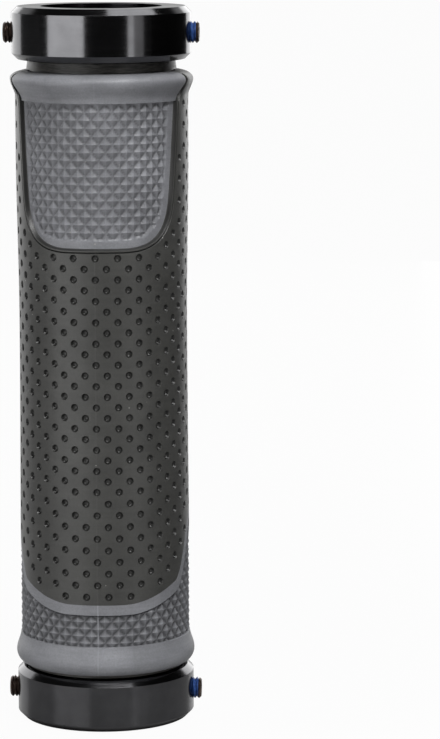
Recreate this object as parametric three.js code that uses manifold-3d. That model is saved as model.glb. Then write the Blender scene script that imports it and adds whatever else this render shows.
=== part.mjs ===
// Lock-on handlebar grip, standing on its lower clamp ring.
// Millimetres, +Z up along the bar. The origin is on the axis, at the lower ring's end face.
// The front, where the parting line and one knurled window are, faces -Y. The screws lie along X.
import * as THREE from 'three';
import { mergeVertices } from 'three/addons/utils/BufferGeometryUtils.js';
import Module from 'manifold-3d';

const wasm = await Module();
wasm.setup();

// The bar and the clearances
const BAR_DIAMETER = 22.2;
const BAR_CLEARANCE = 0.05;
const PIECE_GAP = 0.3;

// Overall
const OVERALL_LENGTH = 132.6;

// Clamp rings
const RING_DIAMETER = 33;
const RING_HEIGHT = 9.6;
const RING_CHAMFER = 1.1;
const SOCKET_DEPTH = 2;
const KEY_COUNT = 4;
const KEY_WIDTH = 3;
const KEY_HEIGHT = 1.4;
const KEY_SETBACK = 0.1;

// Set screws
const SCREW_DIAMETER = 4;
const SCREW_LENGTH = 5;
const SCREW_STANDOUT = 1.5;
const SCREW_POINT_LENGTH = 0.6;
const SCREW_POINT_DIAMETER = 2.6;
const SCREW_CUP_DEPTH = 0.5;
const SCREW_CUP_DIAMETER = 1.8;
const SCREW_END_CHAMFER = 0.35;
const HEX_ACROSS_FLATS = 2;
const HEX_DEPTH = 2.2;

// Hard sleeve under the rubber
const SLEEVE_WALL = 2.05;
const SPIGOT_WALL = 1.3;
const NECK_RISE = 0.6;
const NECK_TAPER = 0.2;
const NECK_LENGTH = 1.5;
const SHOULDER_RISE = 1.4;
const SHOULDER_LENGTH = 0.7;
const SHOULDER_CLEARANCE = 0.4;
const NECK_MARGIN = 0.05;

// Rubber barrel, with its end lips a little proud of the rings
const RUBBER_WALL = 2.4;
const WAIST_DEPTH = 0.37;
const LOWER_END_DEPTH = 0.07;
const WAIST_BELOW_TOP = 44.9;
const FULL_BELOW_TOP = 14.9;
const LOWER_LIP_DROOP = 0.45;
const LOWER_LIP_ROLL = 2.05;
const LOWER_LIP_PROUD = 0.18;
const LOWER_LIP_FLARE = 3.6;
const UPPER_LIP_ROLL = 1.5;
const UPPER_LIP_PROUD = 0.34;
const UPPER_LIP_FLARE = 3.2;

// Window in the black rubber, front and back: half its outline, in mm round the barrel
const WINDOW_LENGTH = 31.4;
const WINDOW_FLAT = 5.5;
const WINDOW_CORNER_WIDTH = 10.6;
const WINDOW_CORNER_HEIGHT = 9;
const WINDOW_CORNER_HANDLES = { low: 0.61, side: 0.93, rise: 0.31 };
const WINDOW_TOP_WIDTH = 17.9;
const COLLAR_WIDTH = 19.6;
const COLLAR_LENGTH = 5.2;
const COLLAR_RECESS = 0.4;
const WINDOW_RECESS = 0.8;
const WINDOW_BEVEL = 0.9;
const WINDOW_RIM = 1.5;
const WINDOW_LEFT_RIM = 0.6;

// Grey skirt round the lower end: its upper line rises gently towards the sides, in degrees
// from the front, and then steeply into a tongue up each side
const SKIRT_FRONT_HEIGHT = 12.95;
const SKIRT_RISE = { height: 6, start: 18, end: 100 };
const TONGUE_RISE = { height: 9.7, start: 60, end: 87 };
const SKIRT_BAND = 1.9;
const SKIRT_BAND_DEGREES = 2;
const SKIRT_KNURL_ABOVE_BOTTOM = 5.1;

// Knurl: rows of pyramids, each standing between four of its neighbours
const KNURL_STEP = 0.1;
const WINDOW_KNURL_PITCH = 2.6;
const WINDOW_KNURL_ROW = 2.91;
const WINDOW_KNURL_HEIGHT = 0.45;
const WINDOW_TIP_PROUD = 0.1;
const SKIRT_KNURL_COLUMNS = 76;
const SKIRT_KNURL_ROW = 2.67;
const SKIRT_KNURL_HEIGHT = 0.45;
const SKIRT_TIP_SINK = 0.05;

// Dimples in the black rubber
const DIMPLE_COLUMNS = 48;
const DIMPLE_DIAMETER = 1.4;
const DIMPLE_DEPTH = 0.5;
const DIMPLE_LOWER_ROW = 2.17;
const DIMPLE_UPPER_ROW = 1.95;
const DIMPLE_LOWER_ROWS = 10;
const DIMPLE_FIRST_ABOVE_SKIRT = 1.5;
const DIMPLE_MARGIN = 0.1;

// Facets round a turned piece and steps along a curve
const RING_FACETS = 44;
const SCREW_FACETS = 16;
const WINDOW_FACETS = 12;
const CORNER_STEPS = 7;
const WALL_STEPS = 3;
const LIP_ROLL_STEPS = [0.5, 0.85, 1];
const LIP_FLARE_STEPS = [0.35, 0.7, 1];

// How far cutting shapes run on: past the part, and past a face inside it
const FAR = 6;
const OVERSHOOT = 1;

// Places that follow from the sizes above
const bore = BAR_DIAMETER / 2 + BAR_CLEARANCE;
const ringRadius = RING_DIAMETER / 2;
const upperRingBottom = OVERALL_LENGTH - RING_HEIGHT;
const spigotRadius = bore + SPIGOT_WALL;
const socketRadius = spigotRadius + PIECE_GAP;
const sleeveRadius = bore + SLEEVE_WALL;
const neckRadius = sleeveRadius + NECK_RISE;
const shoulderRadius = sleeveRadius + SHOULDER_RISE;
const shoulderBottom = RING_HEIGHT + PIECE_GAP;
const shoulderTop = shoulderBottom + SHOULDER_LENGTH;
const neckTop = upperRingBottom - PIECE_GAP;
const neckBottom = neckTop - NECK_LENGTH;
const rubberBore = sleeveRadius + PIECE_GAP;
const rubberRadius = rubberBore + RUBBER_WALL;
const rubberBottom = shoulderTop + PIECE_GAP;
const rubberTop = neckBottom - PIECE_GAP;
const lipBottom = rubberBottom - LOWER_LIP_DROOP;
const lowerCrest = lipBottom + LOWER_LIP_ROLL;
const upperCrest = rubberTop - UPPER_LIP_ROLL;
const lowerCrestRadius = ringRadius + LOWER_LIP_PROUD;
const upperCrestRadius = ringRadius + UPPER_LIP_PROUD;
const lowerLipBore = shoulderRadius + SHOULDER_CLEARANCE;
const upperLipBore = neckRadius + NECK_MARGIN;
const windowBottom = rubberTop - WINDOW_LENGTH;
const knurlTop = rubberTop - COLLAR_LENGTH;
const skirtKnurlBottom = rubberBottom + SKIRT_KNURL_ABOVE_BOTTOM;
const skirtFront = rubberBottom + SKIRT_FRONT_HEIGHT;
const tongueTop = skirtFront + SKIRT_RISE.height + TONGUE_RISE.height;

function mix(a, b, share) {
  return a + (b - a) * share;
}

function ease(share) {
  const t = THREE.MathUtils.clamp(share, 0, 1);
  return t * t * (3 - 2 * t);
}

function quarterRound(share) {
  return 1 - Math.sqrt(1 - THREE.MathUtils.clamp(share, 0, 1) ** 2);
}

// Radius of the plain barrel between its lips
function barrelRadius(z) {
  const waist = rubberTop - WAIST_BELOW_TOP;
  const full = rubberTop - FULL_BELOW_TOP;
  const lower = lowerCrest + LOWER_LIP_FLARE;
  const depth = z < waist
    ? mix(LOWER_END_DEPTH, WAIST_DEPTH, ease((z - lower) / (waist - lower)))
    : mix(WAIST_DEPTH, 0, ease((z - waist) / (full - waist)));
  return rubberRadius - depth;
}

// Radius of the rubber's outside, lips included
function bodyRadius(z) {
  if (z < lowerCrest) {
    return mix(lowerCrestRadius, lowerLipBore, quarterRound((lowerCrest - z) / LOWER_LIP_ROLL));
  }
  if (z > upperCrest) {
    return mix(upperCrestRadius, upperLipBore, quarterRound((z - upperCrest) / UPPER_LIP_ROLL));
  }
  const upper = mix(upperCrestRadius, barrelRadius(z), ease((upperCrest - z) / UPPER_LIP_FLARE));
  return mix(lowerCrestRadius, upper, ease((z - lowerCrest) / LOWER_LIP_FLARE));
}

// Radius of the grey panel in a window: sunk under the barrel, and level with it at the lip
function panelRadius(z) {
  if (z < knurlTop) {
    return bodyRadius(z) - WINDOW_RECESS;
  }
  const climb = ease((z - knurlTop) / (upperCrest - knurlTop));
  return bodyRadius(z) - COLLAR_RECESS * (1 - climb);
}

// Point on the grip: degrees run from the front towards +X
function polar(radius, degrees, z) {
  const angle = THREE.MathUtils.degToRad(degrees);
  return new THREE.Vector3(radius * Math.sin(angle), -radius * Math.cos(angle), z);
}

function arcToDegrees(arc) {
  return THREE.MathUtils.radToDeg(arc / rubberRadius);
}

function arcToMillimetres(degrees) {
  return THREE.MathUtils.degToRad(degrees) * rubberRadius;
}

// Angle from the front or the back, whichever is nearer: 0 to 90
function foldedDegrees(degrees) {
  return Math.abs(THREE.MathUtils.euclideanModulo(degrees + 90, 180) - 90);
}

// How far the skirt's upper line has risen at an angle from the front or the back
function skirtRise(degrees) {
  const rises = [SKIRT_RISE, TONGUE_RISE].map(({ height, start, end }) => (
    height * ease((degrees - start) / (end - start))
  ));
  return rises[0] + rises[1];
}

// Height of the line between black rubber and grey skirt
function skirtEdge(degrees) {
  return skirtFront + skirtRise(foldedDegrees(degrees));
}

// How much longer a distance square to that line is when it is taken straight up
function skirtLean(degrees) {
  const slope = (skirtEdge(degrees + 1) - skirtEdge(degrees - 1)) / arcToMillimetres(2);
  return Math.hypot(1, slope);
}

// Height of the step under the skirt's plain band, the same line lower and further out
function skirtStep(degrees) {
  return skirtFront - SKIRT_BAND + skirtRise(foldedDegrees(degrees) - SKIRT_BAND_DEGREES);
}

// Right half of the knurled part of a window's outline, from the end of its straight bottom edge
function knurledOutline() {
  const { low, side, rise } = WINDOW_CORNER_HANDLES;
  const cornerEnd = new THREE.Vector2(WINDOW_FLAT + WINDOW_CORNER_WIDTH, windowBottom + WINDOW_CORNER_HEIGHT);
  const corner = new THREE.CubicBezierCurve(
    new THREE.Vector2(WINDOW_FLAT, windowBottom),
    new THREE.Vector2(WINDOW_FLAT + WINDOW_CORNER_WIDTH * low, windowBottom),
    new THREE.Vector2(WINDOW_FLAT + WINDOW_CORNER_WIDTH * side, windowBottom + WINDOW_CORNER_HEIGHT * rise),
    cornerEnd,
  );
  const wall = new THREE.LineCurve(cornerEnd, new THREE.Vector2(WINDOW_TOP_WIDTH, knurlTop));
  return [...corner.getPoints(CORNER_STEPS), ...wall.getPoints(WALL_STEPS).slice(1)];
}

// Right half of the whole outline, which goes on up past the lip
function windowOutline() {
  return [
    ...knurledOutline(),
    new THREE.Vector2(COLLAR_WIDTH, upperCrest),
    new THREE.Vector2(COLLAR_WIDTH, rubberTop + OVERSHOOT),
  ];
}

// The outline moved outwards, or inwards where the distance is negative
function offsetOutline(points, distance) {
  const last = points.length - 1;
  return points.map((point, index) => {
    const before = points[Math.max(index - 1, 0)];
    const after = points[Math.min(index + 1, last)];
    const along = index === 0 ? new THREE.Vector2(1, 0) : after.clone().sub(before).normalize();
    const drop = index === last ? 0 : along.x * distance;
    return new THREE.Vector2(point.x + along.y * distance, point.y - drop);
  });
}

// Closed mesh from points and triangles
function meshFrom(points, faces) {
  const geometry = new THREE.BufferGeometry();
  geometry.setAttribute('position', new THREE.Float32BufferAttribute(points.flatMap((p) => p.toArray()), 3));
  geometry.setIndex(faces);
  return geometry;
}

function toSolid(geometry) {
  const bare = geometry.clone();
  bare.deleteAttribute('normal');
  bare.deleteAttribute('uv');
  const merged = mergeVertices(bare, 1e-4);
  return new wasm.Manifold(new wasm.Mesh({
    numProp: 3,
    vertProperties: new Float32Array(merged.attributes.position.array),
    triVerts: new Uint32Array(merged.index.array),
  }));
}

function toGeometry(solid) {
  const mesh = solid.getMesh();
  const geometry = new THREE.BufferGeometry();
  geometry.setAttribute('position', new THREE.BufferAttribute(new Float32Array(mesh.vertProperties), 3));
  geometry.setIndex(new THREE.BufferAttribute(new Uint32Array(mesh.triVerts), 1));
  return geometry;
}

// Solid of revolution about Z from a closed profile of [radius, height] pairs
function turned(profile, facets) {
  const points = [...profile, profile[0]].map(([radius, z]) => new THREE.Vector2(radius, z));
  return toSolid(new THREE.LatheGeometry(points, facets).rotateX(Math.PI / 2));
}

// Solid between a stack of patches. Each layer gives a radius and an outline offset,
// and each patch is a grid that spans the outline from its left edge to its right edge.
function windowBlock(layers, centre, outline) {
  const columns = WINDOW_FACETS;
  const points = [];
  const faces = [];
  const rows = outline.length;
  const stride = columns + 1;
  const layerSize = rows * stride;
  for (const { radius, offset } of layers) {
    for (const point of offsetOutline(outline, offset)) {
      for (let column = 0; column <= columns; column += 1) {
        const share = (2 * column) / columns - 1;
        points.push(polar(radius(point.y), centre + share * arcToDegrees(point.x), point.y));
      }
    }
  }
  const at = (layer, row, column) => layer * layerSize + row * stride + column;
  const last = layers.length - 1;
  for (let row = 0; row < rows - 1; row += 1) {
    for (let column = 0; column < columns; column += 1) {
      const outer = [[0, 0], [0, 1], [1, 1], [1, 0]].map(([r, c]) => at(last, row + r, column + c));
      const inner = [[0, 0], [1, 0], [1, 1], [0, 1]].map(([r, c]) => at(0, row + r, column + c));
      pushQuad(faces, ...outer);
      pushQuad(faces, ...inner);
    }
  }
  const rim = [
    ...Array.from({ length: columns }, (_, c) => [0, c]),
    ...Array.from({ length: rows - 1 }, (_, r) => [r, columns]),
    ...Array.from({ length: columns }, (_, c) => [rows - 1, columns - c]),
    ...Array.from({ length: rows - 1 }, (_, r) => [rows - 1 - r, 0]),
  ];
  for (let layer = 0; layer < last; layer += 1) {
    rim.forEach(([row, column], index) => {
      const [nextRow, nextColumn] = rim[(index + 1) % rim.length];
      const low = [at(layer, row, column), at(layer, nextRow, nextColumn)];
      const high = [at(layer + 1, nextRow, nextColumn), at(layer + 1, row, column)];
      pushQuad(faces, ...low, ...high);
    });
  }
  return toSolid(meshFrom(points, faces));
}

function pushQuad(faces, a, b, c, d) {
  faces.push(a, b, c, a, c, d);
}

// Ring-shaped solid between two radii, from a level bottom to a top that may rise and fall
function ringBlock({ columns, degrees, bottom, top, inner, outer }) {
  const points = [];
  const faces = [];
  for (let column = 0; column < columns; column += 1) {
    const angle = degrees(column);
    points.push(
      polar(inner, angle, bottom),
      polar(outer, angle, bottom),
      polar(outer, angle, top(angle)),
      polar(inner, angle, top(angle)),
    );
    const here = column * 4;
    const next = ((column + 1) % columns) * 4;
    for (let side = 0; side < 4; side += 1) {
      const other = (side + 1) % 4;
      pushQuad(faces, here + side, next + side, next + other, here + other);
    }
  }
  return toSolid(meshFrom(points, faces));
}

// Skin on a grid round the grip, over a plain bore. Where the grid lies at half the knurl's
// pitch its points are tips and valleys in turn, and the groove runs from valley to valley.
function gridSkin({ columns, heights, degrees, outside, floor, wraps }) {
  const points = [];
  const faces = [];
  const rows = heights.length - 1;
  const across = wraps ? columns : columns + 1;
  heights.forEach((z, row) => {
    for (let column = 0; column < across; column += 1) {
      points.push(polar(outside(row, column, z), degrees(column), z));
    }
  });
  const inner = points.length;
  for (const z of [heights[0], heights[rows]]) {
    for (let column = 0; column < across; column += 1) {
      points.push(polar(floor, degrees(column), z));
    }
  }
  const at = (row, column) => row * across + (column % across);
  const under = (end, column) => inner + end * across + (column % across);
  for (let column = 0; column < columns; column += 1) {
    for (let row = 0; row < rows; row += 1) {
      const [a, b] = [at(row, column), at(row, column + 1)];
      const [c, d] = [at(row + 1, column + 1), at(row + 1, column)];
      if (isTip(row, column)) {
        faces.push(a, b, d, b, c, d);
      } else {
        faces.push(a, b, c, a, c, d);
      }
    }
    pushQuad(faces, under(0, column + 1), under(0, column), under(1, column), under(1, column + 1));
    pushQuad(faces, at(0, column + 1), at(0, column), under(0, column), under(0, column + 1));
    pushQuad(faces, at(rows, column), at(rows, column + 1), under(1, column + 1), under(1, column));
  }
  if (!wraps) {
    const side = (column) => heights.map((_, row) => at(row, column));
    pushFan(faces, [under(0, 0), under(1, 0)], side(0));
    pushFan(faces, [under(1, columns), under(0, columns)], side(columns).reverse());
  }
  return toSolid(meshFrom(points, faces));
}

function isTip(row, column) {
  return (row + column) % 2 === 0;
}

// Flat end wall between two floor points and a column of skin points
function pushFan(faces, [from, to], skin) {
  skin.slice(1).forEach((point, index) => faces.push(from, skin[index], point));
  faces.push(from, skin[skin.length - 1], to);
}

// Heights of the dimple rows: wider rows below, closer rows above
function dimpleRows() {
  const rows = [];
  const last = upperCrest - UPPER_LIP_FLARE - DIMPLE_DIAMETER;
  let z = skirtFront + DIMPLE_FIRST_ABOVE_SKIRT;
  while (z < last) {
    rows.push(z);
    z += rows.length < DIMPLE_LOWER_ROWS ? DIMPLE_LOWER_ROW : DIMPLE_UPPER_ROW;
  }
  return rows;
}

// Half the width of an outline at a height, in mm round the barrel, or 0 where it is below
function halfWidthAt(z, outline) {
  const above = outline.findIndex((point) => point.y >= z);
  if (above < 1) {
    return above === 0 ? 0 : outline[outline.length - 1].x;
  }
  const [low, high] = [outline[above - 1], outline[above]];
  return mix(low.x, high.x, (z - low.y) / (high.y - low.y));
}

// A dimple is left out where the window or the skirt would cut it
function hasDimple(degrees, z, outline) {
  const reach = DIMPLE_DIAMETER / 2 + DIMPLE_MARGIN;
  const halfWidth = halfWidthAt(z + reach, outline);
  const clearOfWindow = halfWidth === 0 || arcToMillimetres(foldedDegrees(degrees)) - reach > halfWidth;
  return clearOfWindow && z - skirtEdge(degrees) > reach * skirtLean(degrees);
}

// Five points of a dimple: a diamond with the round dimple's area, and its bottom
function dimplePoints(degrees, z, depth) {
  const reach = (DIMPLE_DIAMETER / 2) * Math.sqrt(Math.PI / 2);
  const side = arcToDegrees(reach);
  return {
    down: polar(bodyRadius(z - reach), degrees, z - reach),
    right: polar(bodyRadius(z), degrees + side, z),
    up: polar(bodyRadius(z + reach), degrees, z + reach),
    left: polar(bodyRadius(z), degrees - side, z),
    deep: polar(bodyRadius(z) - depth, degrees, z),
  };
}

// Rubber tube with dimples at every second crossing of its rows and columns. Each is
// joined to the four nearest ones, and the outermost to plain rings at both ends.
function dimpledTube(bottom, outline) {
  const columns = DIMPLE_COLUMNS;
  const rows = dimpleRows();
  const top = rows.length - 1;
  const points = [];
  const faces = [];
  const degrees = (column) => ((column - 1) * 360) / columns;
  const add = (point) => points.push(point) - 1;
  const plainRing = (radius, z) => (
    Array.from({ length: columns }, (_, column) => add(polar(radius, degrees(column), z)))
  );
  const cells = rows.map((z, row) => Array.from({ length: columns }, (_, column) => {
    if ((row + column) % 2) {
      return null;
    }
    const depth = hasDimple(degrees(column), z, outline) ? DIMPLE_DEPTH : 0;
    const corners = Object.entries(dimplePoints(degrees(column), z, depth));
    return Object.fromEntries(corners.map(([name, point]) => [name, add(point)]));
  }));
  const cell = (row, column) => cells[row][(column + columns) % columns];
  rows.forEach((_, row) => {
    for (let column = row % 2; column < columns; column += 2) {
      const { down, right, up, left, deep } = cell(row, column);
      faces.push(down, right, deep, right, up, deep, up, left, deep, left, down, deep);
      if (row < top) {
        const upRight = cell(row + 1, column + 1);
        const upLeft = cell(row + 1, column - 1);
        pushQuad(faces, right, upRight.down, upRight.left, up);
        pushQuad(faces, left, up, upLeft.right, upLeft.down);
      }
      if (row < top - 1) {
        const above = cell(row + 2, column);
        pushQuad(faces, up, cell(row + 1, column + 1).left, above.down, cell(row + 1, column - 1).right);
      }
    }
  });
  const flare = LIP_FLARE_STEPS.map((share) => mix(upperCrest - UPPER_LIP_FLARE, upperCrest, share));
  const roll = LIP_ROLL_STEPS.map((share) => upperCrest + UPPER_LIP_ROLL * share);
  const rings = [
    ...[rows[top] + DIMPLE_DIAMETER, ...flare, ...roll].map((z) => plainRing(bodyRadius(z), z)),
    plainRing(rubberBore, rubberTop),
    plainRing(rubberBore, bottom),
    plainRing(bodyRadius(bottom), bottom),
  ];
  const [lid, base] = [rings[0], rings[rings.length - 1]];
  for (let column = 0; column < columns; column += 2) {
    const { down, right, left } = cell(0, column);
    const [before, after] = [(column - 1 + columns) % columns, column + 1];
    faces.push(base[column], base[after], down, base[before], base[column], down);
    faces.push(down, base[after], right, right, base[after], cell(1, after).down);
    faces.push(base[before], down, left, base[before], left, cell(1, before).down);
  }
  for (let column = top % 2; column < columns; column += 2) {
    const { up, right, left } = cell(top, column);
    const [before, after] = [(column - 1 + columns) % columns, (column + 1) % columns];
    faces.push(up, lid[after], lid[column], lid[before], up, lid[column]);
    faces.push(right, lid[after], up, cell(top - 1, after).up, lid[after], right);
    faces.push(lid[before], left, up, lid[before], cell(top - 1, before).up, left);
  }
  for (let ring = 1; ring < rings.length; ring += 1) {
    for (let column = 0; column < columns; column += 1) {
      const next = (column + 1) % columns;
      pushQuad(faces, rings[ring - 1][column], rings[ring - 1][next], rings[ring][next], rings[ring][column]);
    }
  }
  return toSolid(meshFrom(points, faces));
}

function skirtDegrees(column) {
  return (column * 360) / SKIRT_KNURL_COLUMNS;
}

// Everything under the line between the black rubber and the grey skirt
function skirtBlock(clearance) {
  return ringBlock({
    columns: SKIRT_KNURL_COLUMNS,
    degrees: skirtDegrees,
    bottom: lipBottom - FAR,
    top: (degrees) => skirtEdge(degrees) + clearance,
    inner: bore,
    outer: ringRadius + FAR,
  });
}

function blackRubber() {
  const outline = windowOutline();
  const deep = (z) => bodyRadius(Math.min(z, knurlTop)) - WINDOW_RECESS;
  const level = (z) => bodyRadius(Math.min(z, knurlTop));
  const cutLayers = [
    { radius: () => bore, offset: 0 },
    { radius: deep, offset: 0 },
    { radius: level, offset: WINDOW_BEVEL },
    { radius: () => ringRadius + FAR, offset: WINDOW_BEVEL },
  ];
  return dimpledTube(skirtFront - OVERSHOOT, offsetOutline(outline, WINDOW_BEVEL))
    .subtract(skirtBlock(PIECE_GAP / 2))
    .subtract(windowBlock(cutLayers, 0, outline))
    .subtract(windowBlock(cutLayers, 180, outline));
}

// Grey panel in a window: knurl inside a sunken rim, which is narrower at the left, then the
// collar that climbs to the lip
function windowPanel(centre) {
  const field = offsetOutline(knurledOutline(), -WINDOW_RIM);
  const knurlRadius = rubberRadius - WINDOW_RECESS;
  const halfColumn = THREE.MathUtils.radToDeg(WINDOW_KNURL_PITCH / 2 / knurlRadius);
  const columns = 2 * Math.round(arcToDegrees(COLLAR_WIDTH) / halfColumn) + 1;
  const fromCentre = (column) => (column - columns / 2) * halfColumn;
  const knurlRows = Math.ceil((knurlTop - windowBottom) / (WINDOW_KNURL_ROW / 2));
  const heights = Array.from({ length: knurlRows + 1 }, (_, row) => (
    knurlTop - KNURL_STEP - (knurlRows - row) * (WINDOW_KNURL_ROW / 2)
  ));
  heights.push(...[0, ...LIP_FLARE_STEPS].map((share) => mix(knurlTop, upperCrest, share)));
  heights.push(...LIP_ROLL_STEPS.map((share) => upperCrest + UPPER_LIP_ROLL * share));
  const outside = (row, column, z) => {
    const arc = arcToMillimetres(fromCentre(column));
    const halfWidth = halfWidthAt(z, field);
    const left = halfWidth + WINDOW_RIM - WINDOW_LEFT_RIM;
    if (row > knurlRows || halfWidth === 0 || arc > halfWidth || arc < -left) {
      return panelRadius(z);
    }
    return panelRadius(z) + WINDOW_TIP_PROUD - (isTip(row, column) ? 0 : WINDOW_KNURL_HEIGHT);
  };
  const degrees = (column) => centre + fromCentre(column);
  return gridSkin({ columns, heights, degrees, outside, floor: rubberBore, wraps: false })
    .intersect(windowBlock([
      { radius: () => bore, offset: -PIECE_GAP },
      { radius: () => ringRadius + FAR, offset: -PIECE_GAP },
    ], centre, windowOutline()));
}

// Grey skirt: a rolled lip, a knurled band with a tongue up each side, and a plain band
// under the black rubber
function greySkirt() {
  const halfRow = SKIRT_KNURL_ROW / 2;
  const roll = LIP_ROLL_STEPS.toReversed().map((share) => lowerCrest - LOWER_LIP_ROLL * share);
  const flare = LIP_FLARE_STEPS.map((share) => mix(lowerCrest, skirtKnurlBottom - KNURL_STEP, share));
  const plain = [...roll, lowerCrest, ...flare, skirtKnurlBottom];
  const knurlRows = Math.ceil((tongueTop - skirtKnurlBottom) / halfRow);
  const heights = [
    ...plain,
    ...Array.from({ length: knurlRows + 1 }, (_, row) => skirtKnurlBottom + (row + 0.5) * halfRow),
  ];
  const outside = (row, column, z) => {
    const tip = bodyRadius(z) - SKIRT_TIP_SINK;
    if (row === plain.length - 1) {
      return tip - SKIRT_KNURL_HEIGHT / 2;
    }
    if (row < plain.length || z > skirtStep(skirtDegrees(column))) {
      return bodyRadius(z);
    }
    return tip - (isTip(row, column) ? 0 : SKIRT_KNURL_HEIGHT);
  };
  const underside = ringBlock({
    columns: SKIRT_KNURL_COLUMNS,
    degrees: skirtDegrees,
    bottom: lipBottom - FAR,
    top: () => rubberBottom,
    inner: bore,
    outer: lowerLipBore,
  });
  return gridSkin({
    columns: SKIRT_KNURL_COLUMNS,
    heights,
    degrees: skirtDegrees,
    outside,
    floor: rubberBore,
    wraps: true,
  }).intersect(skirtBlock(-PIECE_GAP / 2)).subtract(underside);
}

// Radial bar across the bore's wall, used for a key and, wider, for its notch
function keyBar(index, width, inner, outer, low, high) {
  const box = new THREE.BoxGeometry(outer - inner, width, high - low);
  box.translate((inner + outer) / 2, 0, (low + high) / 2);
  box.rotateZ(((index + 0.5) * 2 * Math.PI) / KEY_COUNT);
  return toSolid(box);
}

// Moulded sleeve over the bar, with a notched spigot in each ring
function sleeve() {
  const lowEnd = RING_HEIGHT - SOCKET_DEPTH + PIECE_GAP;
  const highEnd = OVERALL_LENGTH - lowEnd;
  let body = turned([
    [bore, highEnd],
    [bore, lowEnd],
    [spigotRadius, lowEnd],
    [spigotRadius, shoulderBottom],
    [shoulderRadius, shoulderBottom],
    [shoulderRadius, shoulderTop],
    [sleeveRadius, shoulderTop],
    [sleeveRadius, neckBottom],
    [neckRadius, neckBottom],
    [neckRadius - NECK_TAPER, neckTop],
    [spigotRadius, neckTop],
    [spigotRadius, highEnd],
  ], RING_FACETS);
  const notchTop = RING_HEIGHT - SOCKET_DEPTH + KEY_HEIGHT + PIECE_GAP;
  for (let index = 0; index < KEY_COUNT; index += 1) {
    const width = KEY_WIDTH + 2 * PIECE_GAP;
    const reach = [bore - OVERSHOOT, spigotRadius + OVERSHOOT];
    body = body
      .subtract(keyBar(index, width, ...reach, lowEnd - OVERSHOOT, notchTop))
      .subtract(keyBar(index, width, ...reach, OVERALL_LENGTH - notchTop, highEnd + OVERSHOOT));
  }
  return body;
}

// Turned ring standing on z = 0, with its socket and keys on the upper face
function clampRing() {
  const socketFloor = RING_HEIGHT - SOCKET_DEPTH;
  let ring = turned([
    [bore, socketFloor],
    [bore, 0],
    [ringRadius - RING_CHAMFER, 0],
    [ringRadius, RING_CHAMFER],
    [ringRadius, RING_HEIGHT - RING_CHAMFER],
    [ringRadius - RING_CHAMFER, RING_HEIGHT],
    [socketRadius, RING_HEIGHT],
    [socketRadius, socketFloor],
  ], RING_FACETS);
  const radii = [bore + KEY_SETBACK, socketRadius + PIECE_GAP];
  const heights = [socketFloor - PIECE_GAP, socketFloor + KEY_HEIGHT];
  for (let index = 0; index < KEY_COUNT; index += 1) {
    ring = ring.add(keyBar(index, KEY_WIDTH, ...radii, ...heights));
  }
  const holeRadius = SCREW_DIAMETER / 2 + PIECE_GAP;
  const hole = new THREE.CylinderGeometry(holeRadius, holeRadius, 2 * RING_DIAMETER, SCREW_FACETS);
  hole.rotateZ(Math.PI / 2).translate(0, 0, ringScrewHeight());
  return ring.subtract(toSolid(hole));
}

function ringScrewHeight() {
  return RING_HEIGHT / 2;
}

// Set screw along +X from its cup point at x = 0 to its hexagon socket
function setScrew() {
  const radius = SCREW_DIAMETER / 2;
  const profile = [
    [0, SCREW_LENGTH],
    [0, SCREW_CUP_DEPTH],
    [SCREW_CUP_DIAMETER / 2, 0],
    [SCREW_POINT_DIAMETER / 2, 0],
    [radius, SCREW_POINT_LENGTH],
    [radius, SCREW_LENGTH - SCREW_END_CHAMFER],
    [radius - SCREW_END_CHAMFER, SCREW_LENGTH],
  ];
  const points = profile.slice(1).concat([profile[0]]).map(([r, y]) => new THREE.Vector2(r, y));
  const body = toSolid(new THREE.LatheGeometry(points, SCREW_FACETS));
  const hexRadius = HEX_ACROSS_FLATS / Math.sqrt(3);
  const hex = new THREE.CylinderGeometry(hexRadius, hexRadius, 2 * HEX_DEPTH, 6);
  hex.translate(0, SCREW_LENGTH, 0);
  return toGeometry(body.subtract(toSolid(hex))).rotateZ(-Math.PI / 2);
}

const blackRubberFinish = new THREE.MeshStandardMaterial({ color: 0x3e3e3b, roughness: 0.72, metalness: 0 });
const greyRubberFinish = new THREE.MeshStandardMaterial({ color: 0x74757a, roughness: 0.75, metalness: 0 });
const sleeveFinish = new THREE.MeshStandardMaterial({ color: 0x3a3835, roughness: 0.5, metalness: 0 });
const ringFinish = new THREE.MeshStandardMaterial({ color: 0x1b1b1d, roughness: 0.22, metalness: 1 });
const screwFinish = new THREE.MeshStandardMaterial({ color: 0x2c2725, roughness: 0.45, metalness: 1 });

function piece(name, geometry, finish) {
  const mesh = new THREE.Mesh(geometry, finish.clone());
  mesh.name = name;
  return mesh;
}

// A ring with its two screws, built on z = 0 with its outer face down
function ringAssembly(prefix, sides) {
  const group = new THREE.Group();
  group.add(piece(`${prefix}_clamp_ring`, toGeometry(clampRing()), ringFinish));
  const pointRadius = ringRadius + SCREW_STANDOUT - SCREW_LENGTH;
  for (const [side, turn] of Object.entries(sides)) {
    const screw = piece(`${prefix}_${side}_set_screw`, setScrew(), screwFinish);
    screw.rotation.z = turn;
    screw.position.set(pointRadius * Math.cos(turn), 0, ringScrewHeight());
    group.add(screw);
  }
  return group;
}

const grip = new THREE.Group();
grip.add(piece('core_sleeve', toGeometry(sleeve()), sleeveFinish));
grip.add(piece('black_rubber_body', toGeometry(blackRubber()), blackRubberFinish));
grip.add(piece('front_grey_panel', toGeometry(windowPanel(0)), greyRubberFinish));
grip.add(piece('back_grey_panel', toGeometry(windowPanel(180)), greyRubberFinish));
grip.add(piece('grey_end_skirt', toGeometry(greySkirt()), greyRubberFinish));
grip.add(ringAssembly('lower', { right: 0, left: Math.PI }));

// The upper ring is the lower one turned over about Y, so that its screws stay on X
const upper = ringAssembly('upper', { left: 0, right: Math.PI });
upper.rotation.y = Math.PI;
upper.position.z = OVERALL_LENGTH;
grip.add(upper);

export default grip;
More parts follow.
